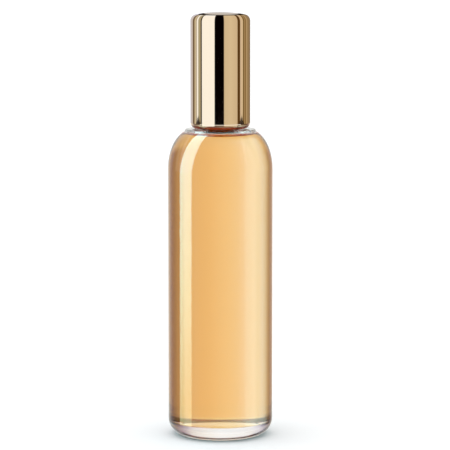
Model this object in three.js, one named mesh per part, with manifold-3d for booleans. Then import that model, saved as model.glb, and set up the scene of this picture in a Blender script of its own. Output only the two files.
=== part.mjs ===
// Perfume flacon: round clear-glass bottle, crimped spray pump and tall gold overcap.
// Millimetres, +Z up, origin at the centre of the contact ring that the bottle stands on.
import * as THREE from 'three';
import { mergeVertices } from 'three/addons/utils/BufferGeometryUtils.js';
import Module from 'manifold-3d';

// ---------------------------------------------------------------- driving dimensions
const SEG = 36;               // facets round the large pieces
const SEG_S = 24;             // facets round the pump's small pieces

// glass bottle
const BODY_R = 19.25;         // outer radius
const WALL_R = 17.2;          // radius of the inside wall
const FLOOR_Z = 5.2;         // inside floor
const PUNT_Z = 0.9;           // push-up under the base
const FOOT_IN_R = 11.9;       // contact ring, inner and outer radius
const FOOT_OUT_R = 13.05;
const HEEL = 6.2;             // outer heel radius
const HEEL_IN = 1.3;          // inner heel radius
const SHOULDER_Z = 98.8;      // where the shoulder starts
const SHOULDER_H = 14.5;      // shoulder height, outside
const SHOULDER_R = 10.6;      // centre of the shoulder's elliptical section
const SHOULDER_IN_H = 14.0;
const SHOULDER_IN_R = 10.6;
const STEP_R = 13.45;         // outside radius where the low step to the flat top starts
const STEP_IN_R = 12.85;      // the same inside
const TOP_Z = 113.65;         // flat top of the shoulder, under the cap
const NECK_R = 6.5;
const BEAD_R = 7.5;           // 15 mm crimp finish
const NECK_TOP = 128;
const BORE_R = 4.9;
// liquid
const FILL_Z = 111.8;
const FILM = 0.06;            // gap between the liquid and the glass
// overcap
const CAP_R = 10.95;
const CAP_WALL = 0.55;
const CAP_Z0 = 113.85;
const CAP_TOP = 156.25;
const CAP_CROWN = 0.75;
const CAP_EDGE = 2.4;         // top edge radius
const CAP_FOOT = 2.0;         // bottom edge radius
const CAP_LIP_R = 9.4;        // turned-in bottom edge
const LINER_OUT_R = 10.28;
const LINER_IN_R = 9.45;
const LINER_Z0 = 116.3;
const LINER_ROOF = 153.3;
const LINER_TOP = 154.4;
// collar and ferrule
const COLLAR_R = 9.2;
const COLLAR_Z0 = 114.9;
const COLLAR_TOP = 132.7;
const COLLAR_HOLE = 3.6;
const FERRULE_R = 7.95;
const FERRULE_WALL = 0.35;
const FERRULE_Z0 = 123.75;
const FERRULE_TOP = 131.5;
// pump
const GASKET_Z = 128.05;
const GASKET_T = 0.8;
const HOUSING_BORE = 3.3;
const HOUSING_R = 4.3;
const HOUSING_Z0 = 113.6;
const FLANGE_R = 7.2;
const STROKE = 3.4;           // actuator travel
const STEM_R = 1.5;
const STEM_BORE = 0.75;
const STEM_TOP = 140;
const TUBE_R = 0.9;
const TUBE_BORE = 0.55;
const TUBE_Z0 = 6.2;
const BALL_R = 1.0;
// actuator
const ACT_R = 6.7;
const ACT_Z0 = 136.6;
const ACT_TOP = 148;
const NOZZLE_Z = 143.2;

// ---------------------------------------------------------------- helpers
// points of an elliptical arc in the radius/height plane, angles in degrees
function arc(cr, cz, rr, rz, a0, a1, n) {
  const out = [];
  for (let i = 0; i <= n; i++) {
    const a = (a0 + (a1 - a0) * i / n) * Math.PI / 180;
    out.push([cr + rr * Math.cos(a), cz + rz * Math.sin(a)]);
  }
  return out;
}

// solid of revolution about +Z; a profile that does not start on the axis is closed on itself
function turned(profile, seg = SEG) {
  const pts = profile.map(([r, z]) => new THREE.Vector2(r, z));
  if (pts[0].x > 1e-9) pts.push(pts[0].clone());
  return new THREE.LatheGeometry(pts, seg).rotateX(Math.PI / 2);
}

const wasm = await Module();
wasm.setup();

function toManifold(geometry) {
  const g = geometry.clone();
  g.deleteAttribute('normal');
  g.deleteAttribute('uv');
  const m = mergeVertices(g, 1e-5);
  // triangles that collapse where the profile meets the axis are left out
  const idx = m.index.array, tri = [];
  for (let i = 0; i < idx.length; i += 3) {
    const [a, b, c] = [idx[i], idx[i + 1], idx[i + 2]];
    if (a !== b && b !== c && a !== c) tri.push(a, b, c);
  }
  return new wasm.Manifold(new wasm.Mesh({
    numProp: 3,
    vertProperties: new Float32Array(m.attributes.position.array),
    triVerts: new Uint32Array(tri),
  }));
}

function toGeometry(solid) {
  const mesh = solid.getMesh();
  const g = new THREE.BufferGeometry();
  g.setAttribute('position', new THREE.BufferAttribute(new Float32Array(mesh.vertProperties), 3));
  g.setIndex(new THREE.BufferAttribute(new Uint32Array(mesh.triVerts), 1));
  g.computeVertexNormals();
  return g;
}

function cut(geometry, ...tools) {
  let s = toManifold(geometry);
  for (const t of tools) s = s.subtract(toManifold(t));
  return toGeometry(s);
}

const group = new THREE.Group();
group.name = 'perfume_flacon';

const looks = {
  glass: { color: 0xf4f1ea, roughness: 0.03, metalness: 0, transparent: true, opacity: 0.35 },
  perfume: { color: 0xe9b06a, roughness: 0.02, metalness: 0, transparent: true, opacity: 0.75 },
  gold: { color: 0xd8b98c, roughness: 0.12, metalness: 1 },
  tin: { color: 0xcfd0d2, roughness: 0.3, metalness: 1 },
  steel: { color: 0xb9bcc0, roughness: 0.25, metalness: 1 },
  white: { color: 0xe8e8e4, roughness: 0.45, metalness: 0 },
  natural: { color: 0xdcdcd6, roughness: 0.4, metalness: 0 },
  rubber: { color: 0x55575a, roughness: 0.7, metalness: 0 },
  clear: { color: 0xf0f4f4, roughness: 0.1, metalness: 0, transparent: true, opacity: 0.4 },
};

function add(name, geometry, look) {
  const mesh = new THREE.Mesh(geometry, new THREE.MeshStandardMaterial(looks[look]));
  mesh.name = name;
  group.add(mesh);
  return mesh;
}

// ---------------------------------------------------------------- bottle and liquid
const shoulderRr = BODY_R - SHOULDER_R;
const shoulderInRr = WALL_R - SHOULDER_IN_R;
const degrees = 180 / Math.PI;
const stepAngle = Math.acos((STEP_R - SHOULDER_R) / shoulderRr) * degrees;
const stepInAngle = Math.acos((STEP_IN_R - SHOULDER_IN_R) / shoulderInRr) * degrees;

add('glass_bottle', turned([
  [0, PUNT_Z], [10.2, PUNT_Z], [FOOT_IN_R, 0],
  ...arc(FOOT_OUT_R, HEEL, HEEL, HEEL, -90, 0, 5),
  ...arc(SHOULDER_R, SHOULDER_Z, shoulderRr, SHOULDER_H, 0, stepAngle, 8),
  [13.2, 112.75], [12.95, 113.3], [12.5, TOP_Z - 0.05],
  [9.4, TOP_Z + 0.05], [8.0, 114.0], [7.0, 114.9], [NECK_R, 116.3],
  [NECK_R, 124.3], [BEAD_R, 125.3], [BEAD_R, 127.6], [7.1, NECK_TOP],
  [5.3, NECK_TOP], [BORE_R, 127.6],
  [BORE_R, 114.3], [5.6, 113.3], [7.2, 112.8], [12.3, 112.85], [12.7, 112.5],
  ...arc(SHOULDER_IN_R, SHOULDER_Z, shoulderInRr, SHOULDER_IN_H, stepInAngle, 0, 7),
  ...arc(WALL_R - HEEL_IN, FLOOR_Z + HEEL_IN, HEEL_IN, HEEL_IN, 0, -90, 3),
  [0, FLOOR_Z],
]), 'glass');

// the liquid fills the inside up to FILL_Z, with the dip tube's hole through it
{
  const wall = arc(SHOULDER_IN_R, SHOULDER_Z, shoulderInRr, SHOULDER_IN_H, 0, stepInAngle, 7);
  const side = wall.filter((p) => p[1] < FILL_Z);
  const [r0, z0] = side[side.length - 1];
  const [r1, z1] = wall[side.length];
  side.push([r0 + (r1 - r0) * (FILL_Z - z0) / (z1 - z0), FILL_Z]);
  add('perfume_fill', turned([
    [1.1, FLOOR_Z + FILM],
    ...arc(WALL_R - HEEL_IN, FLOOR_Z + HEEL_IN, HEEL_IN - FILM, HEEL_IN - FILM, -90, 0, 3),
    ...side.map(([r, z]) => [r - FILM, z - FILM]),
    [1.1, FILL_Z - FILM],
  ]), 'perfume');
}

// ---------------------------------------------------------------- pump, from the neck up
add('neck_gasket', turned([
  [4.6, GASKET_Z], [7.3, GASKET_Z], [7.3, GASKET_Z + GASKET_T], [4.6, GASKET_Z + GASKET_T],
]), 'rubber');

add('pump_housing', turned([
  [1.0, HOUSING_Z0], [2.0, HOUSING_Z0], [2.0, 114.4], [HOUSING_R, 116.2],
  [HOUSING_R, 128.9], [FLANGE_R, 128.9], [FLANGE_R, 130], [HOUSING_BORE, 130],
  [HOUSING_BORE, 118], [1.5, 118], [1.5, 116.9], [0.6, 115.9], [0.6, 115.2], [1.0, 115.2],
], SEG_S), 'natural');

add('dip_tube', turned([
  [TUBE_BORE, TUBE_Z0], [TUBE_R, TUBE_Z0], [TUBE_R, 115.1], [TUBE_BORE, 115.1],
], 12), 'clear');

{
  const zc = 115.3 + Math.SQRT2 * (BALL_R + 0.08);
  const ball = new THREE.SphereGeometry(BALL_R, 12, 8).rotateX(Math.PI / 2);
  const m = add('inlet_ball', ball, 'steel');
  m.position.set(0, 0, zc);
}

add('main_spring', turned([
  [2.05, 118.05], [2.65, 118.05], [2.65, 124], [2.05, 124],
], SEG_S), 'steel');

add('valve_pin', turned([
  [0, 122], [0.9, 122], [1.2, 122.4], [1.2, 124.05], [2.6, 124.05], [2.6, 124.6],
  [1.5, 124.6], [1.4, 125.6], [0.62, 125.6], [0.62, 127.3], [0, 127.5],
], SEG_S), 'white');

add('pump_piston', turned([
  [1.6, 124.75], [2.85, 124.75], [3.2, 125], [2.95, 125.7], [2.95, 126.6], [3.2, 127.8],
  [2.9, 127.8], [2.6, 127.1], [1.6, 127.1],
], SEG_S), 'natural');

add('valve_spring', turned([
  [1.7, 127.15], [2.4, 127.15], [2.4, 129.2], [1.7, 129.2],
], SEG_S), 'steel');

add('pump_stem', turned([
  [STEM_BORE, 125.7], [STEM_R, 125.7], [STEM_R, 129.25], [2.6, 129.25], [2.6, 129.95],
  [STEM_R, 129.95], [STEM_R, STEM_TOP - 0.2], [STEM_R - 0.15, STEM_TOP], [STEM_BORE, STEM_TOP],
], SEG_S), 'white');

add('pump_turret', turned([
  [1.65, 130.05], [6.9, 130.05], [6.9, 130.95], [3.3, 130.95], [3.3, 132.2], [2.75, 132.2],
  [2.75, 131], [1.65, 131],
], SEG_S), 'white');

add('stem_seal', turned([
  [1.6, 131.05], [2.65, 131.05], [2.65, 131.9], [2.0, 131.9], [1.6, 131.6],
], SEG_S), 'rubber');

add('crimp_ferrule', turned([
  [6.75, FERRULE_Z0], [7.6, FERRULE_Z0], [FERRULE_R, 124.1], [FERRULE_R, FERRULE_TOP - 0.25],
  [FERRULE_R - 0.25, FERRULE_TOP], [3.5, FERRULE_TOP], [3.5, FERRULE_TOP - 0.4],
  [FERRULE_R - FERRULE_WALL - 0.1, FERRULE_TOP - 0.4], [FERRULE_R - FERRULE_WALL, FERRULE_TOP - 0.5],
  [FERRULE_R - FERRULE_WALL, 124.35], [7.4, 124.15], [6.75, 124.15],
]), 'tin');

add('collar_liner', turned([
  [8.15, COLLAR_Z0 + 0.3], [8.75, COLLAR_Z0 + 0.3], [8.75, 132.2], [COLLAR_HOLE, 132.2],
  [COLLAR_HOLE, 131.62], [8.15, 131.62],
]), 'white');

add('collar_shell', turned([
  [8.88, COLLAR_Z0], [COLLAR_R, COLLAR_Z0], [COLLAR_R, COLLAR_TOP - 0.35],
  [COLLAR_R - 0.3, COLLAR_TOP], [COLLAR_HOLE, COLLAR_TOP], [COLLAR_HOLE, 132.32], [8.88, 132.32],
]), 'gold');

// ---------------------------------------------------------------- actuator
{
  const alongMinusY = (geometry, y0) => geometry.rotateX(Math.PI).translate(0, y0, NOZZLE_Z);
  const barY = (r, y0, y1) => new THREE.CylinderGeometry(r, r, y0 - y1, SEG_S)
    .translate(0, (y0 + y1) / 2, NOZZLE_Z);
  const socketTop = STEM_TOP + 0.2;
  const body = turned([
    [0, socketTop], [1.62, socketTop], [1.62, ACT_Z0 + 0.3], [2.9, ACT_Z0 + 0.3],
    [2.9, socketTop + 0.4], [5.3, socketTop + 0.4], [5.3, ACT_Z0 + 0.2],
    [6.15, ACT_Z0 + 0.2], [6.15, ACT_TOP - 0.9], [0, ACT_TOP - 0.9],
  ]);
  const riser = new THREE.CylinderGeometry(0.6, 0.6, 3.4, 12).rotateX(Math.PI / 2)
    .translate(0, 0, socketTop - 0.4 + 1.7);
  add('actuator_body', cut(body, riser, barY(0.6, 0.4, -4.2), barY(2.0, -3.9, -7.0)), 'white');

  const shell = turned([
    [0, ACT_TOP - 0.7], [ACT_R - 0.4, ACT_TOP - 0.7], [ACT_R - 0.4, ACT_Z0], [ACT_R, ACT_Z0],
    [ACT_R, ACT_TOP - 0.7], [ACT_R - 0.15, ACT_TOP - 0.25], [ACT_R - 0.5, ACT_TOP],
    [4.5, ACT_TOP - 0.1], [0, ACT_TOP - 0.3],
  ]);
  add('actuator_shell', cut(shell, barY(2.25, -4.8, -7.4)), 'gold');

  const insert = new THREE.LatheGeometry([
    [1.88, 0], [1.88, 2.3], [1.65, 2.55], [0.9, 2.55], [0.25, 2.2], [0.25, 1.7], [1.2, 1.7],
    [1.2, 0], [1.88, 0],
  ].map(([r, t]) => new THREE.Vector2(r, t)), SEG_S);
  add('spray_insert', alongMinusY(insert, -4.0), 'white');
}

// ---------------------------------------------------------------- overcap
{
  const topR = CAP_R - CAP_EDGE, footR = CAP_R - CAP_FOOT;
  const topIn = CAP_EDGE - CAP_WALL, footIn = CAP_FOOT - CAP_WALL;
  const rimZ = CAP_TOP - CAP_CROWN;
  const lipOut = -Math.acos((CAP_LIP_R - footR) / CAP_FOOT) * 180 / Math.PI;
  const lipIn = -Math.acos((CAP_LIP_R - footR) / footIn) * 180 / Math.PI;
  add('cap_shell', turned([
    [0, CAP_TOP - CAP_WALL], [5, CAP_TOP - CAP_WALL - 0.27],
    ...arc(topR, rimZ - CAP_EDGE, topIn, topIn, 84, 0, 3),
    ...arc(footR, CAP_Z0 + CAP_FOOT, footIn, footIn, 0, lipIn, 3),
    ...arc(footR, CAP_Z0 + CAP_FOOT, CAP_FOOT, CAP_FOOT, lipOut, 0, 4),
    ...arc(topR, rimZ - CAP_EDGE, CAP_EDGE, CAP_EDGE, 0, 84, 5),
    [5, CAP_TOP - 0.25], [0, CAP_TOP],
  ]), 'gold');

  add('cap_liner', turned([
    [0, LINER_ROOF], [LINER_IN_R, LINER_ROOF], [LINER_IN_R, LINER_Z0], [LINER_OUT_R, LINER_Z0],
    [LINER_OUT_R, LINER_TOP - 1.1], [LINER_OUT_R - 0.75, LINER_TOP], [0, LINER_TOP],
  ]), 'white');
}

export default group;
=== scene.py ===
# Perfume flacon: looks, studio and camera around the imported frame. Metres, +Z up.
import math
import bpy
import bmesh
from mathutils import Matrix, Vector


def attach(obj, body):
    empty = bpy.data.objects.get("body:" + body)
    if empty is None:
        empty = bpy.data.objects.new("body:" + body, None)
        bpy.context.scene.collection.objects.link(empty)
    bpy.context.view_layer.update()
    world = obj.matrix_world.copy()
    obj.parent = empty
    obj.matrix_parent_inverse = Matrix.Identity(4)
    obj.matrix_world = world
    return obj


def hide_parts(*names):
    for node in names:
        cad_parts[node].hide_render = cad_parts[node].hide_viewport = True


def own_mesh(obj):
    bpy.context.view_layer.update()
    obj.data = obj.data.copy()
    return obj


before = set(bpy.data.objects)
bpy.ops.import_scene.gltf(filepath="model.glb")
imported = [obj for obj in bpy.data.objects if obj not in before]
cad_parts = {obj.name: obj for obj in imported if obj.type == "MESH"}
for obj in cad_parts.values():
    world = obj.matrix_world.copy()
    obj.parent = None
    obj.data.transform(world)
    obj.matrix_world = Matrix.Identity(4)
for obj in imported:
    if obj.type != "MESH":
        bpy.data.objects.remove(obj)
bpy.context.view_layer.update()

MM = 0.001
scene = bpy.context.scene


# ------------------------------------------------------------------ profile and mesh helpers
def arc(cr, cz, rr, rz, a0, a1, n):
    return [(cr + rr * math.cos(math.radians(a0 + (a1 - a0) * i / n)),
             cz + rz * math.sin(math.radians(a0 + (a1 - a0) * i / n))) for i in range(n + 1)]


def rounded(pts, closed=True, step=9.0, hold=0.05):
    """Corner points (r, z, fillet radius) in mm become a dense profile: each corner is an arc, and
    a holding point beside it keeps the flats flat under smooth shading."""
    out = []
    n = len(pts)
    for i in range(n):
        p = pts[i]
        f = p[2] if len(p) > 2 else 0.0
        ends = (not closed) and i in (0, n - 1)
        if f <= 0 or ends:
            out.append((p[0], p[1]))
            continue
        a, b = pts[(i - 1) % n], pts[(i + 1) % n]
        u = Vector((a[0] - p[0], a[1] - p[1])); lu = u.length; u.normalize()
        v = Vector((b[0] - p[0], b[1] - p[1])); lv = v.length; v.normalize()
        ang = math.acos(max(-1.0, min(1.0, u.dot(v))))
        turn = math.pi - ang
        if turn < 0.02:
            out.append((p[0], p[1]))
            continue
        t = f * math.tan(turn / 2)
        t = min(t, 0.45 * lu, 0.45 * lv)
        f = t / math.tan(turn / 2)
        bis = (u + v).normalized()
        c = Vector((p[0], p[1])) + bis * (f / math.cos(turn / 2))
        s = Vector((p[0], p[1])) + u * t
        e = Vector((p[0], p[1])) + v * t
        h = min(hold, 0.3 * (lu - t))
        out.append(tuple(s + u * h))
        a0 = math.atan2(s.y - c.y, s.x - c.x)
        a1 = math.atan2(e.y - c.y, e.x - c.x)
        d = (a1 - a0 + math.pi) % (2 * math.pi) - math.pi
        k = max(3, int(math.ceil(math.degrees(abs(d)) / step)))
        for j in range(k + 1):
            w = a0 + d * j / k
            out.append((c.x + f * math.cos(w), c.y + f * math.sin(w)))
        h = min(hold, 0.3 * (lv - t))
        out.append(tuple(e + v * h))
    res = []
    for q in out:
        if not res or (abs(q[0] - res[-1][0]) + abs(q[1] - res[-1][1])) > 1e-5:
            res.append((max(0.0, q[0]), q[1]))
    if closed and (abs(res[0][0] - res[-1][0]) + abs(res[0][1] - res[-1][1])) < 1e-5:
        res.pop()
    return res


def new_object(name, verts, faces, sharp=32.0):
    me = bpy.data.meshes.new(name)
    me.from_pydata([(x * MM, y * MM, z * MM) for x, y, z in verts], [], faces)
    me.validate(verbose=False)
    bm = bmesh.new(); bm.from_mesh(me)
    bmesh.ops.recalc_face_normals(bm, faces=bm.faces)
    bm.to_mesh(me); bm.free()
    me.polygons.foreach_set("use_smooth", [True] * len(me.polygons))
    me.set_sharp_from_angle(angle=math.radians(sharp))
    me.update()
    ob = bpy.data.objects.new(name, me)
    scene.collection.objects.link(ob)
    return ob


def lathe(name, prof, seg=128, warp=None, sharp=32.0):
    """Closed solid of revolution about Z. A profile that starts and ends on the axis is capped by a
    vertex there, and any other closes on itself. warp(r, z, angle) may shift a point."""
    on_axis = prof[0][0] < 1e-6 and prof[-1][0] < 1e-6
    verts, rings = [], []
    for r, z in prof:
        if r < 1e-6:
            rings.append([len(verts)]); verts.append((0.0, 0.0, z))
            continue
        ring = []
        for k in range(seg):
            a = 2 * math.pi * k / seg
            rr, zz = warp(r, z, a) if warp else (r, z)
            ring.append(len(verts)); verts.append((rr * math.cos(a), rr * math.sin(a), zz))
        rings.append(ring)
    faces = []
    pairs = list(zip(rings, rings[1:]))
    if not on_axis:
        pairs.append((rings[-1], rings[0]))
    for a, b in pairs:
        if len(a) == 1 and len(b) == 1:
            continue
        for k in range(seg):
            m = (k + 1) % seg
            if len(a) == 1:
                faces.append((a[0], b[m], b[k]))
            elif len(b) == 1:
                faces.append((a[k], a[m], b[0]))
            else:
                faces.append((a[k], a[m], b[m], b[k]))
    return new_object(name, verts, faces, sharp)


def coil(name, mean_r, wire, z0, z1, turns, sides=12, per_turn=40, dead=0.8):
    """Compression spring with closed end coils, as one swept solid."""
    steps = int(turns * per_turn)
    pts = []
    za, zb = z0 + wire, z1 - wire
    for i in range(steps + 1):
        t = turns * i / steps
        pitch_end = 2.0 * wire * 1.02
        live = turns - 2 * dead
        rise_end = pitch_end * dead
        if t < dead:
            z = za + pitch_end * t
        elif t > turns - dead:
            z = zb - pitch_end * (turns - t)
        else:
            s = (t - dead) / live
            s = s * s * (3 - 2 * s) * 0.25 + s * 0.75
            z = za + rise_end + (zb - za - 2 * rise_end) * s
        a = 2 * math.pi * t
        pts.append(Vector((mean_r * math.cos(a), mean_r * math.sin(a), z)))
    verts, faces = [], []
    for i, p in enumerate(pts):
        q = pts[min(i + 1, steps)] - pts[max(i - 1, 0)]
        q.normalize()
        rad = Vector((p.x, p.y, 0)).normalized()
        up = q.cross(rad).normalized()
        rad = up.cross(q).normalized()
        for k in range(sides):
            w = 2 * math.pi * k / sides
            v = p + rad * (wire * math.cos(w)) + up * (wire * math.sin(w))
            verts.append(tuple(v))
    for i in range(steps):
        for k in range(sides):
            m = (k + 1) % sides
            a = i * sides
            faces.append((a + k, a + m, a + sides + m, a + sides + k))
    faces.append(tuple(range(sides))[::-1])
    faces.append(tuple(range(steps * sides, (steps + 1) * sides)))
    return new_object(name, verts, faces, 40)


def bar(name, r, axis_from, axis_to, seg=48):
    """Plain cutter cylinder, removed after its cut."""
    a, b = Vector(axis_from), Vector(axis_to)
    d = (b - a).normalized()
    u = d.orthogonal().normalized(); w = d.cross(u)
    verts = []
    for p in (a, b):
        for k in range(seg):
            t = 2 * math.pi * k / seg
            verts.append(tuple(p + u * (r * math.cos(t)) + w * (r * math.sin(t))))
    faces = [tuple(range(seg))[::-1], tuple(range(seg, 2 * seg))]
    faces += [(k, (k + 1) % seg, seg + (k + 1) % seg, seg + k) for k in range(seg)]
    return new_object(name, verts, faces)


def cut(ob, *tools):
    for t in tools:
        m = ob.modifiers.new("cut", "BOOLEAN")
        m.operation = "DIFFERENCE"; m.solver = "EXACT"; m.object = t
    deps = bpy.context.evaluated_depsgraph_get()
    me = bpy.data.meshes.new_from_object(ob.evaluated_get(deps))
    ob.modifiers.clear()
    old = ob.data
    ob.data = me
    bpy.data.meshes.remove(old)
    for t in tools:
        bpy.data.objects.remove(t, do_unlink=True)
    me.polygons.foreach_set("use_smooth", [True] * len(me.polygons))
    me.set_sharp_from_angle(angle=math.radians(28))
    return ob


# ------------------------------------------------------------------ materials
class Nodes:
    def __init__(self, name):
        self.mat = bpy.data.materials.new(name)
        self.mat.use_nodes = True
        self.nt = self.mat.node_tree
        self.n = self.nt.nodes
        self.bsdf = next(x for x in self.n if x.type == "BSDF_PRINCIPLED")
        self.tc = self.n.new("ShaderNodeTexCoord")

    def link(self, a, b):
        self.nt.links.new(a, b)

    def set(self, **kw):
        names = {"color": "Base Color", "rough": "Roughness", "metal": "Metallic", "ior": "IOR",
                 "trans": "Transmission Weight", "coat": "Coat Weight", "coat_rough": "Coat Roughness",
                 "spec": "Specular IOR Level", "sub": "Subsurface Weight", "sub_scale": "Subsurface Scale",
                 "aniso": "Anisotropic"}
        for k, v in kw.items():
            s = self.bsdf.inputs[names[k]]
            s.default_value = (*v, 1.0) if k == "color" else v
        return self

    def noise(self, scale, stretch=(1, 1, 1), detail=4.0, rough=0.55):
        m = self.n.new("ShaderNodeMapping")
        m.inputs["Scale"].default_value = stretch
        t = self.n.new("ShaderNodeTexNoise")
        t.inputs["Scale"].default_value = scale
        t.inputs["Detail"].default_value = detail
        t.inputs["Roughness"].default_value = rough
        self.link(self.tc.outputs["Object"], m.inputs["Vector"])
        self.link(m.outputs["Vector"], t.inputs["Vector"])
        return t.outputs["Fac"]

    def tint(self, fac, lo, hi, a=0.3, b=0.7):
        r = self.n.new("ShaderNodeValToRGB")
        r.color_ramp.elements[0].position = a
        r.color_ramp.elements[0].color = (*lo, 1)
        r.color_ramp.elements[1].position = b
        r.color_ramp.elements[1].color = (*hi, 1)
        self.link(fac, r.inputs["Fac"])
        self.link(r.outputs["Color"], self.bsdf.inputs["Base Color"])
        return self

    def rough(self, fac, lo, hi, a=0.3, b=0.7):
        r = self.n.new("ShaderNodeMapRange")
        r.inputs["From Min"].default_value = a
        r.inputs["From Max"].default_value = b
        r.inputs["To Min"].default_value = lo
        r.inputs["To Max"].default_value = hi
        self.link(fac, r.inputs["Value"])
        self.link(r.outputs["Result"], self.bsdf.inputs["Roughness"])
        return self

    def bump(self, fac, strength, distance):
        b = self.n.new("ShaderNodeBump")
        b.inputs["Strength"].default_value = strength
        b.inputs["Distance"].default_value = distance
        self.link(fac, b.inputs["Height"])
        self.link(b.outputs["Normal"], self.bsdf.inputs["Normal"])
        return self


GOLD = (0.90, 0.71, 0.47)


def shade(c, k):
    return tuple(min(1.0, x * k) for x in c)


def m_gold(name, rough=0.02):
    m = Nodes(name).set(metal=1.0, rough=rough)
    m.tint(m.noise(180.0, (1, 1, 0.2)), shade(GOLD, 0.985), shade(GOLD, 1.01))
    m.rough(m.noise(900.0, (1, 1, 0.15), 6.0), rough * 0.7, rough * 1.5)
    m.bump(m.noise(1400.0, (1, 1, 0.3), 3.0), 0.02, 0.00002)
    return m.mat


def painted_foot_shade(mat, low, high, by):
    """Painted shade: the cap's turned-in foot is made darker below this height by multiplying its colour with a dark
    tint.
    """
    nt = mat.node_tree
    bsdf = next(x for x in nt.nodes if x.type == "BSDF_PRINCIPLED")
    src = bsdf.inputs["Base Color"].links[0].from_socket
    t = nt.nodes.new("ShaderNodeTexCoord")
    sp = nt.nodes.new("ShaderNodeSeparateXYZ")
    nt.links.new(t.outputs["Object"], sp.inputs[0])
    mr = nt.nodes.new("ShaderNodeMapRange")
    mr.inputs["From Min"].default_value, mr.inputs["From Max"].default_value = low, high
    mr.inputs["To Min"].default_value, mr.inputs["To Max"].default_value = 1.0, 0.0
    nt.links.new(sp.outputs["Z"], mr.inputs["Value"])
    mu = nt.nodes.new("ShaderNodeMix")
    mu.data_type, mu.blend_type = "RGBA", "MULTIPLY"
    nt.links.new(mr.outputs[0], mu.inputs[0])
    nt.links.new(src, mu.inputs[6])
    mu.inputs[7].default_value = (*by, 1.0)
    nt.links.new(mu.outputs[2], bsdf.inputs["Base Color"])
    return mat


def m_glass(name, ior=1.5):
    m = Nodes(name).set(trans=1.0, ior=ior, rough=0.0, color=(1, 1, 1))
    m.tint(m.noise(40.0, (1, 1, 0.5), 2.0), (0.990, 0.993, 0.990), (1.0, 1.0, 1.0))
    m.bump(m.noise(60.0, (1, 1, 0.3), 1.0), 0.012, 0.0001)
    return m.mat


def m_perfume(name, absorb=True, ior=1.0, through=(0.91, 0.484, 0.113), length=0.0344):
    """through: what is left of white light after that length, which gives the absorption per metre
    = density * (1 - colour)."""
    m = Nodes(name).set(trans=1.0, ior=ior, rough=0.0, color=(1, 1, 1))
    m.tint(m.noise(60.0, (1, 1, 1), 2.0), (0.997, 0.997, 0.995), (1.0, 1.0, 1.0))
    if absorb:
        k = [-math.log(t) / length for t in through]
        d = max(k) / 0.98
        v = m.n.new("ShaderNodeVolumeAbsorption")
        v.inputs["Color"].default_value = (*[1 - x / d for x in k], 1.0)
        v.inputs["Density"].default_value = d
        out = next(x for x in m.n if x.type == "OUTPUT_MATERIAL")
        m.link(v.outputs["Volume"], out.inputs["Volume"])
    return m.mat


def m_plastic(name, base, rough=0.35, sub=0.0):
    m = Nodes(name).set(rough=rough, ior=1.5)
    if sub:
        m.set(sub=sub, sub_scale=0.001)
    m.tint(m.noise(120.0), shade(base, 0.96), shade(base, 1.02))
    m.rough(m.noise(600.0, (1, 1, 1), 5.0), rough * 0.85, rough * 1.15)
    m.bump(m.noise(2500.0, (1, 1, 1), 3.0), 0.08, 0.00002)
    return m.mat


def m_metal(name, base, rough, stretch=(1, 1, 1), scale=900.0):
    m = Nodes(name).set(metal=1.0, rough=rough)
    m.tint(m.noise(200.0, stretch), shade(base, 0.94), shade(base, 1.03))
    m.rough(m.noise(scale, stretch, 6.0), rough * 0.7, rough * 1.3)
    m.bump(m.noise(scale * 1.5, stretch, 4.0), 0.08, 0.00002)
    return m.mat


def m_rubber(name):
    m = Nodes(name).set(rough=0.6, ior=1.5)
    m.tint(m.noise(300.0), (0.035, 0.036, 0.038), (0.055, 0.056, 0.058))
    m.rough(m.noise(900.0), 0.5, 0.75)
    m.bump(m.noise(3500.0), 0.2, 0.00003)
    return m.mat


def m_tube(name):
    # clear fluoropolymer tube in liquid: its index is almost the liquid's, so it all but vanishes
    m = Nodes(name).set(trans=1.0, ior=1.0005, rough=0.0, color=(1, 1, 1))
    m.tint(m.noise(100.0), (0.99, 0.99, 0.99), (1.0, 1.0, 1.0))
    return m.mat


M = {
    "glass": m_glass("glass_flint"),
    "glass_wet": m_glass("glass_flint_wet", 1.5 / 1.36),
    "perfume": m_perfume("perfume_amber"),
    "perfume_top": m_perfume("perfume_free_surface", False, 1.36),
    # painted shade: the meniscus ring gets an absorption so strong that it shows as a dark line at the level
    "perfume_edge_painted_shade": m_perfume("perfume_meniscus_painted_shade", True, 1.0, (0.30, 0.13, 0.12), 0.0004),
    "perfume_null": m_perfume("perfume_film_underside", False, 1.0),
    # painted shade: the cap's gold is darkened at its foot, below 114.95-115.35 mm
    "gold": painted_foot_shade(m_gold("gold_polished", 0.02), 0.11495, 0.11535, (0.42, 0.34, 0.36)),
    "gold_pump": m_gold("gold_pump_parts", 0.05),
    "tin": m_metal("ferrule_aluminium", (0.82, 0.82, 0.83), 0.22, (1, 1, 6)),
    "steel": m_metal("spring_steel", (0.62, 0.63, 0.65), 0.2),
    "white": m_plastic("plastic_white", (0.80, 0.80, 0.78), 0.3),
    "natural": m_plastic("plastic_natural", (0.74, 0.745, 0.72), 0.4, 0.2),
    "rubber": m_rubber("seal_rubber"),
    "tube": m_tube("tube_clear"),
}


def finish_piece(ob, body, node, mat):
    ob.data.materials.clear()
    ob.data.materials.append(M[mat])
    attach(ob, body)
    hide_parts(node)
    return ob


# ------------------------------------------------------------------ bottle and liquid
BODY_R, WALL_R = 19.25, 17.2
FOOT_OUT_R, HEEL = 13.05, 6.2
FLOOR_Z, HEEL_IN = 5.2, 1.3
SH_Z, SH_R, SH_H = 98.8, 10.6, 14.5
SHI_R, SHI_H = 10.6, 14.0
STEP_R, PLATEAU_Z = 13.0, 113.65
STEP_IN_R, PLATEAU_IN_Z = 12.75, 112.9
FILL_Z = 111.8

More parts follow.
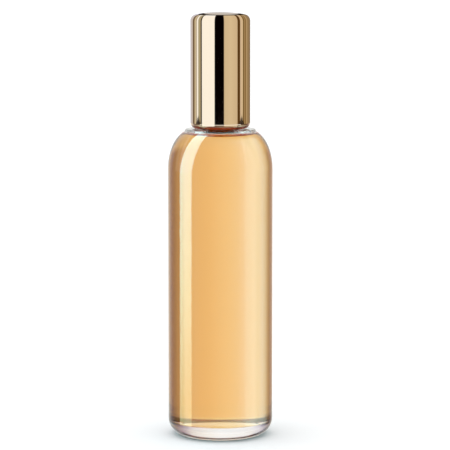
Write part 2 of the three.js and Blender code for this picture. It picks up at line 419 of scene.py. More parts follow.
outer = []
outer += [(0.0, 0.95), (4.0, 0.93), (7.4, 0.82)]
outer += [(8.8, 0.66), (9.6, 0.42), (10.1, 0.18), (10.4, 0.05), (10.6, 0.005), (10.75, 0.0)]
outer += [(12.0, 0.0)]
outer += arc(FOOT_OUT_R, HEEL, HEEL, HEEL, -90, 0, 26)[0:]
outer += [(BODY_R, HEEL + 0.15), (BODY_R, 52.0), (BODY_R, SH_Z - 0.15)]
dome = [q for q in arc(SH_R, SH_Z, BODY_R - SH_R, SH_H, 0, 90, 60) if q[0] > STEP_R + 0.45]
outer += dome
# low step that carries the flat top of the shoulder
outer += rounded([dome[-1], (STEP_R + 0.25, 112.62, 0.25), (STEP_R - 0.12, 113.52, 0.45), (12.1, PLATEAU_Z, 0.8),
                  (9.3, PLATEAU_Z + 0.1)], closed=False)[1:-1]
neck = rounded([(9.6, PLATEAU_Z + 0.09), (9.3, PLATEAU_Z + 0.1), (7.3, 114.4, 1.2), (6.5, 117.2, 2.0), (6.5, 124.3, 0.35),
                (7.5, 125.3, 0.35), (7.5, 128.0, 0.55), (4.95, 128.0, 0.35), (4.95, 115.2)], closed=False)
outer += neck[1:-1]
wet_from = None
inner = [(4.95, 115.2)] + arc(8.7, 115.2, 3.75, 2.5, 180, 270, 14)[1:]
dome_in = [q for q in arc(SHI_R, SH_Z, WALL_R - SHI_R, SHI_H, 90, 0, 80) if q[0] > STEP_IN_R + 0.1]
inner += rounded([(8.7, 112.7), (9.6, PLATEAU_IN_Z - 0.06, 0.6), (STEP_IN_R - 0.15, PLATEAU_IN_Z, 0.5), dome_in[0]], closed=False)[1:-1]
inner += dome_in
inner += [(WALL_R, SH_Z - 0.15), (WALL_R, 52.0), (WALL_R, FLOOR_Z + HEEL_IN + 0.15)]
inner += arc(WALL_R - HEEL_IN, FLOOR_Z + HEEL_IN, HEEL_IN, HEEL_IN, 0, -90, 12)
inner += [(15.0, FLOOR_Z + 0.01), (9.0, FLOOR_Z + 0.06), (4.5, FLOOR_Z + 0.09), (0.0, FLOOR_Z + 0.1)]
glass = lathe("glass_bottle_fine", outer + inner, 192)
finish_piece(glass, "flacon", "glass_bottle", "glass")
# where the liquid wets the wall the step in index is the one from glass to liquid
glass.data.materials.append(M["glass_wet"])
LINE = (FILL_Z - 0.02) * MM
for poly in glass.data.polygons:
    c = poly.center
    n = poly.normal
    r = math.hypot(c.x, c.y)
    inward = (n.x * c.x + n.y * c.y) / max(r, 1e-9)
    if c.z < LINE and c.z > 4.0 * MM and (inward < -0.02 or (n.z > 0.2 and c.z < 9.0 * MM)) and r < 17.3 * MM:
        poly.material_index = 1

SKIN = 0.03
liq = [(0.0, FLOOR_Z + 0.1 - SKIN), (4.5, FLOOR_Z + 0.09 - SKIN), (9.0, FLOOR_Z + 0.06 - SKIN),
       (15.0, FLOOR_Z + 0.01 - SKIN)]
liq += arc(WALL_R - HEEL_IN, FLOOR_Z + HEEL_IN, HEEL_IN + SKIN, HEEL_IN + SKIN, -90, 0, 12)
liq += [(WALL_R + SKIN, FLOOR_Z + HEEL_IN + 0.15), (WALL_R + SKIN, 52.0), (WALL_R + SKIN, SH_Z - 0.15)]
wall = [(r + SKIN, z) for r, z in reversed(inner) if 98.0 < z < 113.0 and r > 9.0]
for (r0, z0), (r1, z1) in zip(wall, wall[1:]):
    if z1 < SH_Z:
        continue
    if z1 >= FILL_Z:
        liq.append((r0 + (r1 - r0) * (FILL_Z - z0) / (z1 - z0), FILL_Z))
        break
    liq.append((r1, z1))
r_top = liq[-1][0]
# meniscus: the surface falls from the wall in a short curve
men = [(r_top - 0.08, FILL_Z - 0.10), (r_top - 0.22, FILL_Z - 0.22), (r_top - 0.45, FILL_Z - 0.33),
       (r_top - 0.9, FILL_Z - 0.40), (r_top - 1.6, FILL_Z - 0.43), (r_top - 3.0, FILL_Z - 0.44), (0.0, FILL_Z - 0.44)]
liq += men
perfume = lathe("perfume_fill_fine", liq, 192)
finish_piece(perfume, "flacon", "perfume_fill", "perfume")
# the free surface: a film with the liquid's own index on its upper side
FT = 0.03
film = [(0.0, FILL_Z - 0.44 - FT)] + [(r, z - FT) for r, z in reversed(men[:-1])] + [(r_top, FILL_Z - FT)]
film += [(r_top + 0.0, FILL_Z + 0.005)] + [(r, z + 0.005) for r, z in men]
surf = lathe("perfume_surface", film, 192)
finish_piece(surf, "flacon", "perfume_fill", "perfume_top")
surf.data.materials.append(M["perfume_null"])
for poly in surf.data.polygons:
    if poly.normal.z < 0.05:
        poly.material_index = 1

# the meniscus: a band of liquid drawn up at the wall, made far more absorbing than the perfume so that it draws the
# dark line of the level: painted shade
wall_r = r_top - SKIN - 0.04
ring = [(wall_r - 0.34, FILL_Z - 0.40), (wall_r - 0.20, FILL_Z - 0.46), (wall_r + 0.04, FILL_Z - 0.46), (wall_r + 0.06, FILL_Z - 0.40),
        (wall_r - 0.02, FILL_Z - 0.06), (wall_r - 0.08, FILL_Z - 0.03), (wall_r - 0.18, FILL_Z - 0.18), (wall_r - 0.30, FILL_Z - 0.31)]
men_ob = lathe("perfume_meniscus_painted_shade", ring, 192, sharp=60)
finish_piece(men_ob, "flacon", "perfume_fill", "perfume_edge_painted_shade")

# ------------------------------------------------------------------ pump
def piece(name, corners, node, body, mat, seg=96, closed=True, warp=None, step=9.0, sharp=32.0):
    ob = lathe(name, rounded(corners, closed, step), seg, warp, sharp)
    return finish_piece(ob, body, node, mat)


piece("neck_gasket_fine", [(4.6, 128.05, .12), (7.3, 128.05, .12), (7.3, 128.85, .12), (6.2, 128.85, .05),
      (6.2, 128.78, .05), (5.8, 128.78, .05), (5.8, 128.85, .05), (4.6, 128.85, .12)],
      "neck_gasket", "flacon", "rubber")

piece("pump_housing_fine", [(1.0, 113.6, .08), (1.75, 113.6, .15), (2.0, 113.9, .2), (2.0, 114.4, .3),
      (4.3, 116.2, .6), (4.3, 127.0, .1), (4.45, 127.2, .1), (4.45, 128.9, .12), (7.2, 128.9, .12), (7.2, 130.0, .15),
      (3.3, 130.0, .15), (3.3, 118.0, .12), (2.8, 118.0, .05), (2.8, 117.9, .05), (1.5, 117.9, .12),
      (1.5, 116.9, .05), (0.6, 115.9, .05), (0.6, 115.2, .05), (1.0, 115.2, .05)],
      "pump_housing", "flacon", "natural")

piece("dip_tube_fine", [(0.55, 6.2, .06), (0.9, 6.2, .06), (0.9, 115.1, .06), (0.55, 115.1, .06)],
      "dip_tube", "flacon", "tube", seg=64)

ball_z = 115.3 + math.sqrt(2) * 1.08
ball = lathe("inlet_ball_fine", [(max(0.0, math.sin(math.pi * i / 40)), ball_z - math.cos(math.pi * i / 40))
                                 for i in range(41)], 64, sharp=60)
finish_piece(ball, "inlet_valve", "inlet_ball", "steel")

spring = coil("main_spring_coil", 2.35, 0.19, 118.08, 123.97, 6.2)
finish_piece(spring, "flacon", "main_spring", "steel")
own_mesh(spring)

piece("valve_pin_fine", [(0, 122.0), (0.9, 122.0, .15), (1.2, 122.4, .15), (1.2, 124.05, .1), (2.6, 124.05, .12),
      (2.6, 124.6, .12), (1.5, 124.6, .1), (1.4, 125.6, .15), (0.62, 125.6, .08), (0.62, 127.3, .12), (0, 127.5)],
      "valve_pin", "stem", "white", closed=False)

piece("pump_piston_fine", [(1.6, 124.75, .08), (2.85, 124.75, .1), (3.2, 125.0, .08), (2.95, 125.7, .2),
      (2.95, 126.6, .2), (3.2, 127.8, .05), (2.95, 127.8, .05), (2.65, 127.1, .1), (1.6, 127.1, .08)],
      "pump_piston", "piston", "natural")

vs = coil("valve_spring_coil", 2.05, 0.14, 127.16, 129.2, 3.6, sides=10)
finish_piece(vs, "piston", "valve_spring", "steel")
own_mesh(vs)

piece("pump_stem_fine", [(0.75, 125.7, .06), (1.5, 125.7, .1), (1.5, 129.25, .12), (2.6, 129.25, .12),
      (2.6, 129.95, .12), (1.5, 129.95, .15), (1.5, 139.6, .1), (1.3, 140.0, .08), (0.75, 140.0, .06)],
      "pump_stem", "stem", "white")

piece("pump_turret_fine", [(1.65, 130.05, .08), (6.9, 130.05, .12), (6.9, 130.95, .15), (3.3, 130.95, .25),
      (3.3, 132.2, .15), (2.75, 132.2, .1), (2.75, 131.0, .08), (1.65, 131.0, .08)],
      "pump_turret", "flacon", "white")

piece("stem_seal_fine", [(1.6, 131.05, .08), (2.65, 131.05, .1), (2.65, 131.9, .1), (2.0, 131.9, .15), (1.6, 131.6, .1)],
      "stem_seal", "flacon", "rubber")


# crimped ferrule: the skirt is rolled in under the bead in small folds
def crimp(r, z, a):
    if z < 124.6:
        w = max(0.0, min(1.0, (124.6 - z) / 0.7))
        return r - 0.035 * w * (0.5 + 0.5 * math.cos(18 * a)), z
    return r, z


piece("crimp_ferrule_fine", [(6.85, 123.75, .12), (7.6, 123.75, .35), (7.95, 124.1, .35), (7.95, 127.2, .1),
      (7.9, 127.35, .1), (7.9, 127.6, .1), (7.95, 127.75, .1), (7.95, 131.5, .4), (3.5, 131.5, .12), (3.5, 131.1, .12),
      (7.6, 131.1, .25), (7.6, 124.25, .2), (6.85, 124.15, .1)],
      "crimp_ferrule", "flacon", "tin", seg=216, warp=crimp, step=12)

piece("collar_liner_fine", [(8.15, 115.2, .12), (8.75, 115.2, .12), (8.75, 132.2, .2), (3.6, 132.2, .12),
      (3.6, 131.62, .12), (8.15, 131.62, .3)],
      "collar_liner", "flacon", "white", seg=144)

piece("collar_shell_fine", [(8.88, 114.9, .08), (9.2, 114.9, .12), (9.2, 131.0, .06), (9.12, 131.08, .05),
      (9.12, 131.3, .05), (9.2, 131.38, .06), (9.2, 132.7, .45), (3.6, 132.7, .12), (3.6, 132.32, .1), (8.88, 132.32, .2)],
      "collar_shell", "flacon", "gold_pump", seg=144)

# ------------------------------------------------------------------ actuator
NZ = 143.2
act = lathe("actuator_body_fine", rounded([(0, 140.2), (1.62, 140.2, .05), (1.62, 137.2, .12), (1.9, 136.9, .1),
            (2.9, 136.9, .12), (2.9, 140.6, .3), (5.3, 140.6, .3), (5.3, 136.8, .12), (6.15, 136.8, .12),
            (6.15, 147.1, .25), (0, 147.1)], False), 96)
cut(act, bar("c1", 0.6, (0, 0, 139.8), (0, 0, 143.2)), bar("c2", 0.6, (0, 0.4, NZ), (0, -4.2, NZ)),
    bar("c3", 2.0, (0, -3.9, NZ), (0, -7.0, NZ)))
finish_piece(act, "spray_head", "actuator_body", "white")

shell = lathe("actuator_shell_fine", rounded([(0, 147.3), (6.3, 147.3, .25), (6.3, 136.6, .08), (6.7, 136.6, .12),
              (6.7, 148.0, .55), (5.7, 148.0, .35), (4.6, 147.86, 1.0), (0, 147.68)], False), 144)
cut(shell, bar("c4", 2.25, (0, -4.8, NZ), (0, -7.4, NZ), 64))
finish_piece(shell, "spray_head", "actuator_shell", "gold_pump")

ins = lathe("spray_insert_fine", rounded([(1.88, 0, .08), (1.88, 2.35, .15), (1.5, 2.55, .1), (1.2, 2.5, .1), (0.95, 2.25, .1),
            (0.25, 2.2, .06), (0.25, 1.7, .03), (1.2, 1.7, .1), (1.2, 0, .08)]), 72)
for v in ins.data.vertices:
    x, y, z = v.co
    v.co = (x, -0.004 - z, y + NZ * MM)
ins.data.flip_normals()
bm = bmesh.new(); bm.from_mesh(ins.data); bmesh.ops.recalc_face_normals(bm, faces=bm.faces); bm.to_mesh(ins.data); bm.free()
finish_piece(ins, "spray_head", "spray_insert", "white")

# ------------------------------------------------------------------ overcap
CAP_R, CAP_Z0, CAP_TOP, CROWN, EDGE, FOOT, CW = 10.95, 113.85, 156.25, 0.75, 2.4, 2.0, 0.55
tr, rim = CAP_R - EDGE, CAP_TOP - CROWN
fr = CAP_R - FOOT


def crown(r, top, sag, rr):
    return top - sag * (r / rr) ** 2


cap = []
cap += [(r, crown(r, CAP_TOP - CW, CROWN, tr)) for r in (0.0, 2.0, 4.0, 6.0, 7.6)]
cap += arc(tr, rim - EDGE, EDGE - CW, EDGE - CW, 76, 0, 10)
cap += [(CAP_R - CW, rim - EDGE - 0.05), (CAP_R - CW, 135.0), (CAP_R - CW, CAP_Z0 + FOOT + 0.05)]
lip_in = -math.degrees(math.acos((9.4 - fr) / (FOOT - CW)))
lip_out = -math.degrees(math.acos((9.4 - fr) / FOOT))
cap += arc(fr, CAP_Z0 + FOOT, FOOT - CW, FOOT - CW, 0, lip_in, 12)
cap += arc(fr, CAP_Z0 + FOOT, FOOT, FOOT, lip_out, 0, 20)
cap += [(CAP_R, CAP_Z0 + FOOT + 0.05), (CAP_R, 135.0), (CAP_R, rim - EDGE - 0.05)]
cap += arc(tr, rim - EDGE, EDGE, EDGE, 0, 80, 24)
rj, zj = cap[-1]
for r in (8.4, 7.8, 7.0, 6.0, 5.0, 4.0, 3.0, 2.0, 1.0, 0.0):
    if r < rj - 0.1:
        cap.append((r, CAP_TOP - (CAP_TOP - zj) * (r / rj) ** 2))
cap_shell = lathe("cap_shell_fine", cap, 192, sharp=50)
finish_piece(cap_shell, "overcap", "cap_shell", "gold")


# liner with six grip ribs that hold the cap on the collar
def ribs(r, z, a):
    if abs(r - 9.45) < 0.02 and 116.6 < z < 131.5:
        w = max(0.0, math.cos(6 * a)) ** 24
        return r - 0.16 * w, z
    return r, z


liner = [(0.0, 153.3)] + rounded([(0.0, 153.3), (9.45, 153.3, .5), (9.45, 131.6), (9.45, 131.4), (9.45, 124.0), (9.45, 116.9),
         (9.45, 116.7), (9.45, 116.3, .12), (10.28, 116.3, .12), (10.28, 153.3, .8), (9.53, 154.4, .5), (0.0, 154.4)], False)[1:]
liner_ob = lathe("cap_liner_fine", liner, 144, ribs)
finish_piece(liner_ob, "overcap", "cap_liner", "white")

# ------------------------------------------------------------------ camera
cam_data = bpy.data.cameras.new("camera")
cam_data.sensor_width = 36.0
cam_data.lens = 36.0 * 2714.0 / 450.0
cam_data.clip_start, cam_data.clip_end = 0.05, 60.0
cam = bpy.data.objects.new("camera", cam_data)
scene.collection.objects.link(cam)
PITCH = math.radians(7.15)
cam.location = (0.00172, -1.0 * math.cos(PITCH), 0.07798 + 1.0 * math.sin(PITCH))
cam.rotation_euler = (math.pi / 2 - PITCH, 0.0, 0.0)
scene.camera = cam

# ------------------------------------------------------------------ floor
fm = Nodes("floor_white").set(rough=0.9, spec=0.0)
fm.tint(fm.noise(3.0), (0.90, 0.90, 0.90), (0.93, 0.93, 0.93))
fm.rough(fm.noise(40.0), 0.85, 0.95)
S = 30.0
me = bpy.data.meshes.new("floor")
me.from_pydata([(-S, -S, 0), (S, -S, 0), (S, S, 0), (-S, S, 0)], [], [(0, 1, 2, 3)])
floor = bpy.data.objects.new("floor", me)
scene.collection.objects.link(floor)
me.materials.append(fm.mat)
floor.visible_glossy = False
floor.visible_transmission = False

# broad overhead light for the floor alone
ld = bpy.data.lights.new("floor_light", "SUN")
ld.angle = math.radians(100.0)
ld.energy = 1.0
lo = bpy.data.objects.new("floor_light", ld)
lo.rotation_euler = (math.radians(-8.0), math.radians(-6.0), 0.0)
lo.visible_glossy = False
lo.visible_transmission = False
lo.visible_camera = False
scene.collection.objects.link(lo)
rc = bpy.data.collections.new("floor_receivers")
scene.collection.children.link(rc)
rc.objects.link(floor)
lo.light_linking.receiver_collection = rc

# ------------------------------------------------------------------ studio surroundings
def lin(c):
    return [((v / 255.0) / 12.92 if v / 255.0 <= 0.04045 else ((v / 255.0 + 0.055) / 1.055) ** 2.4) for v in c]


def seen(c):
    """What the polished gold has to face to look this colour."""
    return tuple(a / b for a, b in zip(lin(c), GOLD))


def grey(v, warm=1.0):
    return (v, v * (1 - 0.06 * (1 - warm)), v)


class Sky:
    """Small node helper that paints by direction. v is the direction socket, and (theta, phi) is the
    facing of a mirror that would send the main view along that direction."""

    def __init__(self, nt, vec, elev):
        self.nt, self.n, self.l = nt, nt.nodes, nt.links
        self.vec = vec
        self.X, self.Y, self.Z = self.split(vec)
        az = self.math("ARCTAN2", self.X, self.math("MULTIPLY", self.Y, -1.0))
        self.az = self.math("MULTIPLY_ADD", az, 1 / (2 * math.pi), 0.5)
        e = math.radians(elev)
        d = self.n.new("ShaderNodeVectorMath"); d.operation = "SUBTRACT"
        self.l.new(vec, d.inputs[0]); d.inputs[1].default_value = (0.0, math.cos(e), -math.sin(e))
        nn = self.n.new("ShaderNodeVectorMath"); nn.operation = "NORMALIZE"
        self.l.new(d.outputs[0], nn.inputs[0])
        nx, ny, nz = self.split(nn.outputs[0])
        th = self.math("ARCTAN2", nx, self.math("MULTIPLY", ny, -1.0))
        self.theta = self.math("MULTIPLY_ADD", th, 1 / math.pi, 0.5)      # -90..90 deg -> 0..1
        self.theta_deg = self.math("MULTIPLY", th, 180 / math.pi)
        self.phi_deg = self.math("MULTIPLY", self.math("ARCSINE", nz), 180 / math.pi)

    def split(self, v):
        s = self.n.new("ShaderNodeSeparateXYZ"); self.l.new(v, s.inputs[0]); return s.outputs

    def math(self, op, a, b=None, c=None, clamp=False):
        m = self.n.new("ShaderNodeMath"); m.operation = op; m.use_clamp = clamp
        for i, v in enumerate((a, b, c)):
            if v is None:
                continue
            if isinstance(v, (int, float)):
                m.inputs[i].default_value = v
            else:
                self.l.new(v, m.inputs[i])
        return m.outputs[0]

    def ramp(self, fac, stops, lo, hi):
        """stops: (value, rgb); fac is 0..1 over lo..hi."""
        top = max(max(c) for _, c in stops)
        r = self.n.new("ShaderNodeValToRGB")
        el = r.color_ramp.elements
        while len(el) > 1:
            el.remove(el[-1])
        first = True
        for a, c in sorted(stops, key=lambda q: q[0]):
            pos = (a - lo) / (hi - lo)
            if first:
                el[0].position = pos; e = el[0]; first = False
            else:
                e = el.new(pos)
            e.color = (c[0] / top, c[1] / top, c[2] / top, 1)
        self.l.new(fac, r.inputs["Fac"])
        m = self.n.new("ShaderNodeVectorMath"); m.operation = "SCALE"
        self.l.new(r.outputs["Color"], m.inputs[0])
        m.inputs["Scale"].default_value = top
        return m.outputs[0]

    def mix(self, fac, a, b):
        m = self.n.new("ShaderNodeMix"); m.data_type = "VECTOR"; m.clamp_factor = True
        self.l.new(fac, m.inputs["Factor"])
        for sock, v in ((m.inputs[4], a), (m.inputs[5], b)):
            if isinstance(v, tuple):
                sock.default_value = v
            else:
                self.l.new(v, sock)
        return m.outputs[1]

    def step(self, x, lo, hi):
        m = self.n.new("ShaderNodeMapRange"); m.interpolation_type = "SMOOTHSTEP"
        m.inputs["From Min"].default_value = min(lo, hi)
        m.inputs["From Max"].default_value = max(lo, hi)
        if hi < lo:
            m.inputs["To Min"].default_value = 1.0
            m.inputs["To Max"].default_value = 0.0
        self.l.new(x, m.inputs["Value"])
        return m.outputs["Result"]

    def scaled(self, v, k):
        m = self.n.new("ShaderNodeVectorMath"); m.operation = "SCALE"
        if isinstance(v, tuple):
            m.inputs[0].default_value = v
        else:
            self.l.new(v, m.inputs[0])
        if isinstance(k, (int, float)):
            m.inputs["Scale"].default_value = k
        else:
            self.l.new(k, m.inputs["Scale"])
        return m.outputs[0]

    def add(self, a, b):
        m = self.n.new("ShaderNodeVectorMath"); m.operation = "ADD"
        self.l.new(a, m.inputs[0]); self.l.new(b, m.inputs[1])
        return m.outputs[0]


def band(list_of, soft=0.8):
    """(from, to, colour) bands with soft joints, as ramp stops."""
    out = []
    for i, (a, b, c) in enumerate(list_of):
        out.append((a + (soft if i else 0), c))
        out.append((b - (soft if i < len(list_of) - 1 else 0), c))
    return out


world = bpy.data.worlds.new("studio")
scene.world = world
world.use_nodes = True
wt = world.node_tree
for x in list(wt.nodes):
    wt.nodes.remove(x)
tc = wt.nodes.new("ShaderNodeTexCoord")
W = Sky(wt, tc.outputs["Generated"], 3.9)

CREAM = seen((254, 240, 218))
TAN = seen((213, 183, 137))
cap_env = [(a_, seen(c_) if isinstance(c_[0], int) else c_) for a_, c_ in [
    (-180, (200, 182, 165)), (-134, (200, 182, 165)), (-130, (98, 72, 42)), (-125.5, (98, 72, 42)), (-119, (156, 130, 94)),
    (-111.5, (216, 196, 156)), (-105.3, (150, 125, 95)), (-101.5, (254, 240, 218)), (-97, (254, 240, 218)),
    (-92, (170, 152, 114)), (-82, (170, 150, 112)), (-80.4, (30, 16, 2)), (-76.2, (30, 16, 2)), (-74.8, (254, 240, 218)),
    (-22.6, (254, 240, 218)), (-21.6, (0.002, 0.001, 0.001)), (13.8, (0.002, 0.001, 0.001)), (15.0, (208, 179, 136)),
    (40, (214, 185, 141)), (68.6, (205, 174, 132)), (71.6, (86, 54, 18)), (81.2, (86, 54, 18)),
    (84.5, (212, 180, 140)), (96.6, (214, 182, 138)), (99.6, (112, 80, 34)), (103, (112, 80, 34)), (107.8, (172, 139, 92)),
    (114.5, (118, 86, 40)), (121.5, (186, 152, 106)), (131, (150, 119, 77)), (180, (132, 106, 80))]]
FRONT_U = (1.12, 1.24, 1.50)
# what is seen through and in the bottle, by azimuth
bottle_env = [(-180, (.96, .96, .94)), (-152, (.92, .91, .90)), (-142, (.77, .75, .80)), (-132, (.44, .42, .50)), (-118, (.22, .17, .16)),
              (-88, (.16, .14, .12)), (-84, FRONT_U), (84, FRONT_U), (88, (.16, .13, .11)),
              (113, (.15, .11, .08)), (130, (.20, .115, .10)), (141, (.36, .28, .31)), (149, (.56, .47, .50)), (156, (.79, .72, .68)),
              (168, (.91, .87, .81)), (180, (.96, .96, .94))]
c_cap = W.ramp(W.theta, cap_env, -180, 180)
c_bot = W.ramp(W.az, bottle_env, -180, 180)
front = W.step(W.math("ABSOLUTE", W.math("SUBTRACT", W.az, 0.5)), 88 / 360.0, 85 / 360.0)


def zone_up(S):
    """Above: the stripes run on over the rounded edge; a dark line; then the pale back of the studio."""
    u = S.ramp(S.theta, cap_env, -180, 180)
    u = S.mix(S.step(S.phi_deg, 78.4, 79.4), u, (0.015, 0.01, 0.006))
    return S.mix(S.step(S.phi_deg, 81.2, 82.4), u, seen((194, 174, 146)))


up = zone_up(W)
# downwards: the bottle's surroundings, and under the cap's foot a brown reflection
brown = (0.33, 0.20, 0.18)
low_front = W.mix(W.step(W.Z, -0.24, -0.26), c_bot, c_cap)
sill = W.math("MULTIPLY_ADD", W.math("MULTIPLY", W.math("ABSOLUTE", W.theta_deg), 1 / 45.0, clamp=True), 0.10, W.Z)
low_front = W.mix(W.step(sill, -0.50, -0.56), low_front, brown)
low_back = W.mix(W.math("MULTIPLY", W.step(W.Z, -0.28, -0.42), 0.6), c_bot, (0.88, 0.87, 0.85))
low = W.mix(front, low_back, low_front)
low = W.mix(W.step(W.Z, -0.60, -0.68), low, (0.10, 0.06, 0.05))
low = W.mix(W.step(W.Z, -0.76, -0.84), low, (0.86, 0.84, 0.82))
# two dark flags low at the sides close to a point in the cap's foot
tri = W.math("MULTIPLY", W.math("SUBTRACT", -0.0846, W.Z), 1 / 0.0026, clamp=True)
flag = None
for mid in (-47.5, 45.6):
    gapv = W.math("SUBTRACT", W.math("ABSOLUTE", W.math("SUBTRACT", W.theta_deg, mid)), W.math("MULTIPLY", tri, 6.5))
    f = W.math("MULTIPLY", W.step(gapv, 0.8, -0.8), W.step(W.Z, -0.0849, -0.0853))
    flag = f if flag is None else W.math("MAXIMUM", flag, f)
flag = W.math("MULTIPLY", flag, W.step(W.Z, -0.40, -0.30))
c = W.mix(W.step(W.Z, -0.096, -0.091), low, W.mix(flag, up, (0.02, 0.01, 0.01)))

# light that has come through the glass sees the same walls without the stripes meant for the gold
through_env = [(-180, (.96, .96, .94)), (-152, (.92, .91, .90)), (-142, (.77, .75, .80)), (-132, (.44, .42, .50)), (-118, (.22, .17, .16)),
               (-108, (.20, .16, .14)), (-72, (.80, .80, .79)), (0, (.95, .95, .95)), (72, (.80, .79, .77)), (106, (.17, .13, .10)),
               (113, (.15, .11, .08)), (130, (.20, .115, .10)), (141, (.36, .28, .31)), (149, (.56, .47, .50)), (156, (.79, .72, .68)),
               (168, (.91, .87, .81)), (180, (.96, .96, .94))]
thr = W.ramp(W.az, through_env, -180, 180)
thr = W.mix(W.math("MULTIPLY", W.step(W.Z, -0.28, -0.42), 0.6), thr, (0.88, 0.87, 0.85))
thr = W.mix(W.step(W.Z, -0.60, -0.68), thr, (0.10, 0.06, 0.05))
thr = W.mix(W.step(W.Z, -0.76, -0.84), thr, (0.86, 0.84, 0.82))
lp0 = wt.nodes.new("ShaderNodeLightPath")
c = W.mix(lp0.outputs["Is Transmission Ray"], c, thr)

studio = wt.nodes.new("ShaderNodeBackground")
wt.links.new(c, studio.inputs["Color"])
white = wt.nodes.new("ShaderNodeBackground")
white.inputs["Color"].default_value = (1, 1, 1, 1)
white.inputs["Strength"].default_value = 1.05
lp = wt.nodes.new("ShaderNodeLightPath")
mx = wt.nodes.new("ShaderNodeMixShader")
wt.links.new(lp.outputs["Is Camera Ray"], mx.inputs[0])
wt.links.new(studio.outputs[0], mx.inputs[1])
wt.links.new(white.outputs[0], mx.inputs[2])
soft = wt.nodes.new("ShaderNodeBackground")
soft.inputs["Color"].default_value = (1, 1, 1, 1)
soft.inputs["Strength"].default_value = 0.95
m2 = wt.nodes.new("ShaderNodeMixShader")
wt.links.new(lp.outputs["Is Diffuse Ray"], m2.inputs[0])
wt.links.new(mx.outputs[0], m2.inputs[1])
wt.links.new(soft.outputs[0], m2.inputs[2])
wo = wt.nodes.new("ShaderNodeOutputWorld")
wt.links.new(m2.outputs[0], wo.inputs["Surface"])

# ------------------------------------------------------------------ lights for the bottle alone
# a very large shell round the scene carries the tall strip at the left, the broad soft fill at the
# right and the bright back wall above; only the bottle and its liquid receive it
DR = 90.0
dv, df = [], []
NU, NV = 64, 32
for j in range(NV + 1):
    t = math.pi * j / NV
    for i in range(NU):
        a = 2 * math.pi * i / NU
        dv.append((DR * math.sin(t) * math.cos(a), DR * math.sin(t) * math.sin(a), DR * math.cos(t)))
for j in range(NV):
    for i in range(NU):
        k = (i + 1) % NU
        df.append((j * NU + i, j * NU + k, (j + 1) * NU + k, (j + 1) * NU + i))
dme = bpy.data.meshes.new("kicker_shell")
dme.from_pydata(dv, [], df); dme.validate()
shell_ob = bpy.data.objects.new("kicker_shell", dme)
shell_ob.location = (0, 0, 0.075)
scene.collection.objects.link(shell_ob)
km = bpy.data.materials.new("kicker_lights")
km.use_nodes = True
kt = km.node_tree
for x in list(kt.nodes):
    kt.nodes.remove(x)
ktc = kt.nodes.new("ShaderNodeTexCoord")
kn = kt.nodes.new("ShaderNodeVectorMath"); kn.operation = "NORMALIZE"
kt.links.new(ktc.outputs["Object"], kn.inputs[0])
K = Sky(kt, kn.outputs[0], 7.5)
# tall strip: its edges as the facing of the glass that shows it, bending in over the shoulder
lean = K.math("MULTIPLY", K.math("MAXIMUM", K.phi_deg, 0.0), 1 / 52.7)
lean2 = K.math("POWER", lean, 1.15)
left = K.math("MULTIPLY_ADD", lean2, 11.0, -50.4)
right = K.math("MULTIPLY_ADD", lean2, 12.4, -33.2)
inside = K.math("MULTIPLY", K.step(K.math("SUBTRACT", K.theta_deg, left), -0.25, 0.25),
                K.step(K.math("SUBTRACT", K.theta_deg, right), 0.25, -0.25))
inside = K.math("MULTIPLY", inside, K.step(K.phi_deg, 60.0, 54.0))
inside = K.math("MULTIPLY", inside, K.step(K.phi_deg, -12.0, -6.0))
zf = K.math("MULTIPLY_ADD", K.Z, 1 / 0.20, 1.1)          # z -0.22..-0.02 -> 0..1
strip_c = K.ramp(zf, [(0.0, (3.6, 4.2, 2.4)), (0.15, (3.9, 4.9, 3.0)), (0.36, (4.8, 7.9, 6.3)), (0.62, (5.0, 9.0, 9.0)), (1.0, (5.4, 9.4, 9.6))], 0.0, 1.0)
strip = K.scaled(strip_c, inside)
fill_c = K.ramp(K.theta, [(-90, (0, 0, 0)), (-50, (0, 0, 0)), (-27, (.2, .3, .2)), (0, (.9, 1.3, 1.0)), (17, (1.1, 1.8, 1.4)), (35, (1.4, 2.4, 2.1)),
                          (52, (1.9, 3.2, 3.2)), (60, (2.6, 4.8, 5.0)), (75, (2.8, 5.0, 5.2)), (88, (2.4, 4.6, 4.8)), (97, (2.3, 4.0, 4.4)),
                          (104, (1.9, 3.4, 4.0)), (113, (1.2, 2.2, 2.4)), (124, (.4, .6, .6)), (132, (0, 0, 0)), (180, (0, 0, 0))], -180, 180)
fill = K.scaled(fill_c, K.math("MULTIPLY", K.step(K.phi_deg, 56.0, 36.0), K.step(K.phi_deg, -14.0, -7.0)))
K2 = Sky(kt, kn.outputs[0], 3.9)
gap = kt.nodes.new("ShaderNodeVectorMath"); gap.operation = "SUBTRACT"
kt.links.new(K2.ramp(K2.az, bottle_env, -180, 180), gap.inputs[0])
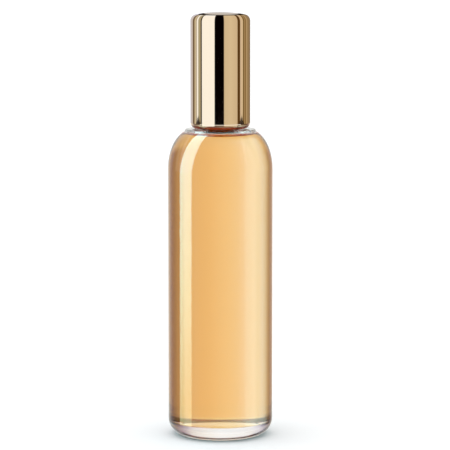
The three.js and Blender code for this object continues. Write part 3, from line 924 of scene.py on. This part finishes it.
kt.links.new(zone_up(K2), gap.inputs[1])
pos_ = kt.nodes.new("ShaderNodeVectorMath"); pos_.operation = "MAXIMUM"
kt.links.new(gap.outputs[0], pos_.inputs[0]); pos_.inputs[1].default_value = (0, 0, 0)
klp = kt.nodes.new("ShaderNodeLightPath")
even = K.scaled(pos_.outputs[0], K.math("MULTIPLY", K.step(K.Z, -0.096, -0.091),
                                        K.math("MULTIPLY_ADD", klp.outputs["Is Transmission Ray"], -1.0, 1.0)))
held = K.math("MULTIPLY_ADD", klp.outputs["Is Transmission Ray"], -0.93, 1.0)
tot = K.add(K.scaled(K.add(strip, fill), held), even)
em = kt.nodes.new("ShaderNodeEmission")
kt.links.new(tot, em.inputs["Color"])
tr_ = kt.nodes.new("ShaderNodeBsdfTransparent")
ad = kt.nodes.new("ShaderNodeAddShader")
kt.links.new(em.outputs[0], ad.inputs[0]); kt.links.new(tr_.outputs[0], ad.inputs[1])
ko = kt.nodes.new("ShaderNodeOutputMaterial")
kt.links.new(ad.outputs[0], ko.inputs["Surface"])
km.cycles.emission_sampling = "NONE"
dme.materials.append(km)
shell_ob.visible_camera = False
shell_ob.visible_diffuse = False
shell_ob.visible_shadow = False
shell_ob.visible_volume_scatter = False
gc = bpy.data.collections.new("bottle_receivers")
scene.collection.children.link(gc)
for o in (glass, perfume, surf, men_ob):
    gc.objects.link(o)
shell_ob.light_linking.receiver_collection = gc

# ------------------------------------------------------------------ render look
scene.view_settings.view_transform = "Standard"
scene.view_settings.look = "None"
scene.view_settings.exposure = 0.0
scene.view_settings.gamma = 1.0
cy = scene.cycles
cy.use_denoising = True
cy.denoiser = "OPENIMAGEDENOISE"
cy.denoising_input_passes = "RGB_ALBEDO_NORMAL"
cy.max_bounces = 40
cy.transmission_bounces = 32
cy.glossy_bounces = 24
cy.diffuse_bounces = 4
cy.transparent_max_bounces = 16
cy.caustics_refractive = False
cy.caustics_reflective = True
cy.blur_glossy = 0.0
cy.sample_clamp_indirect = 12.0
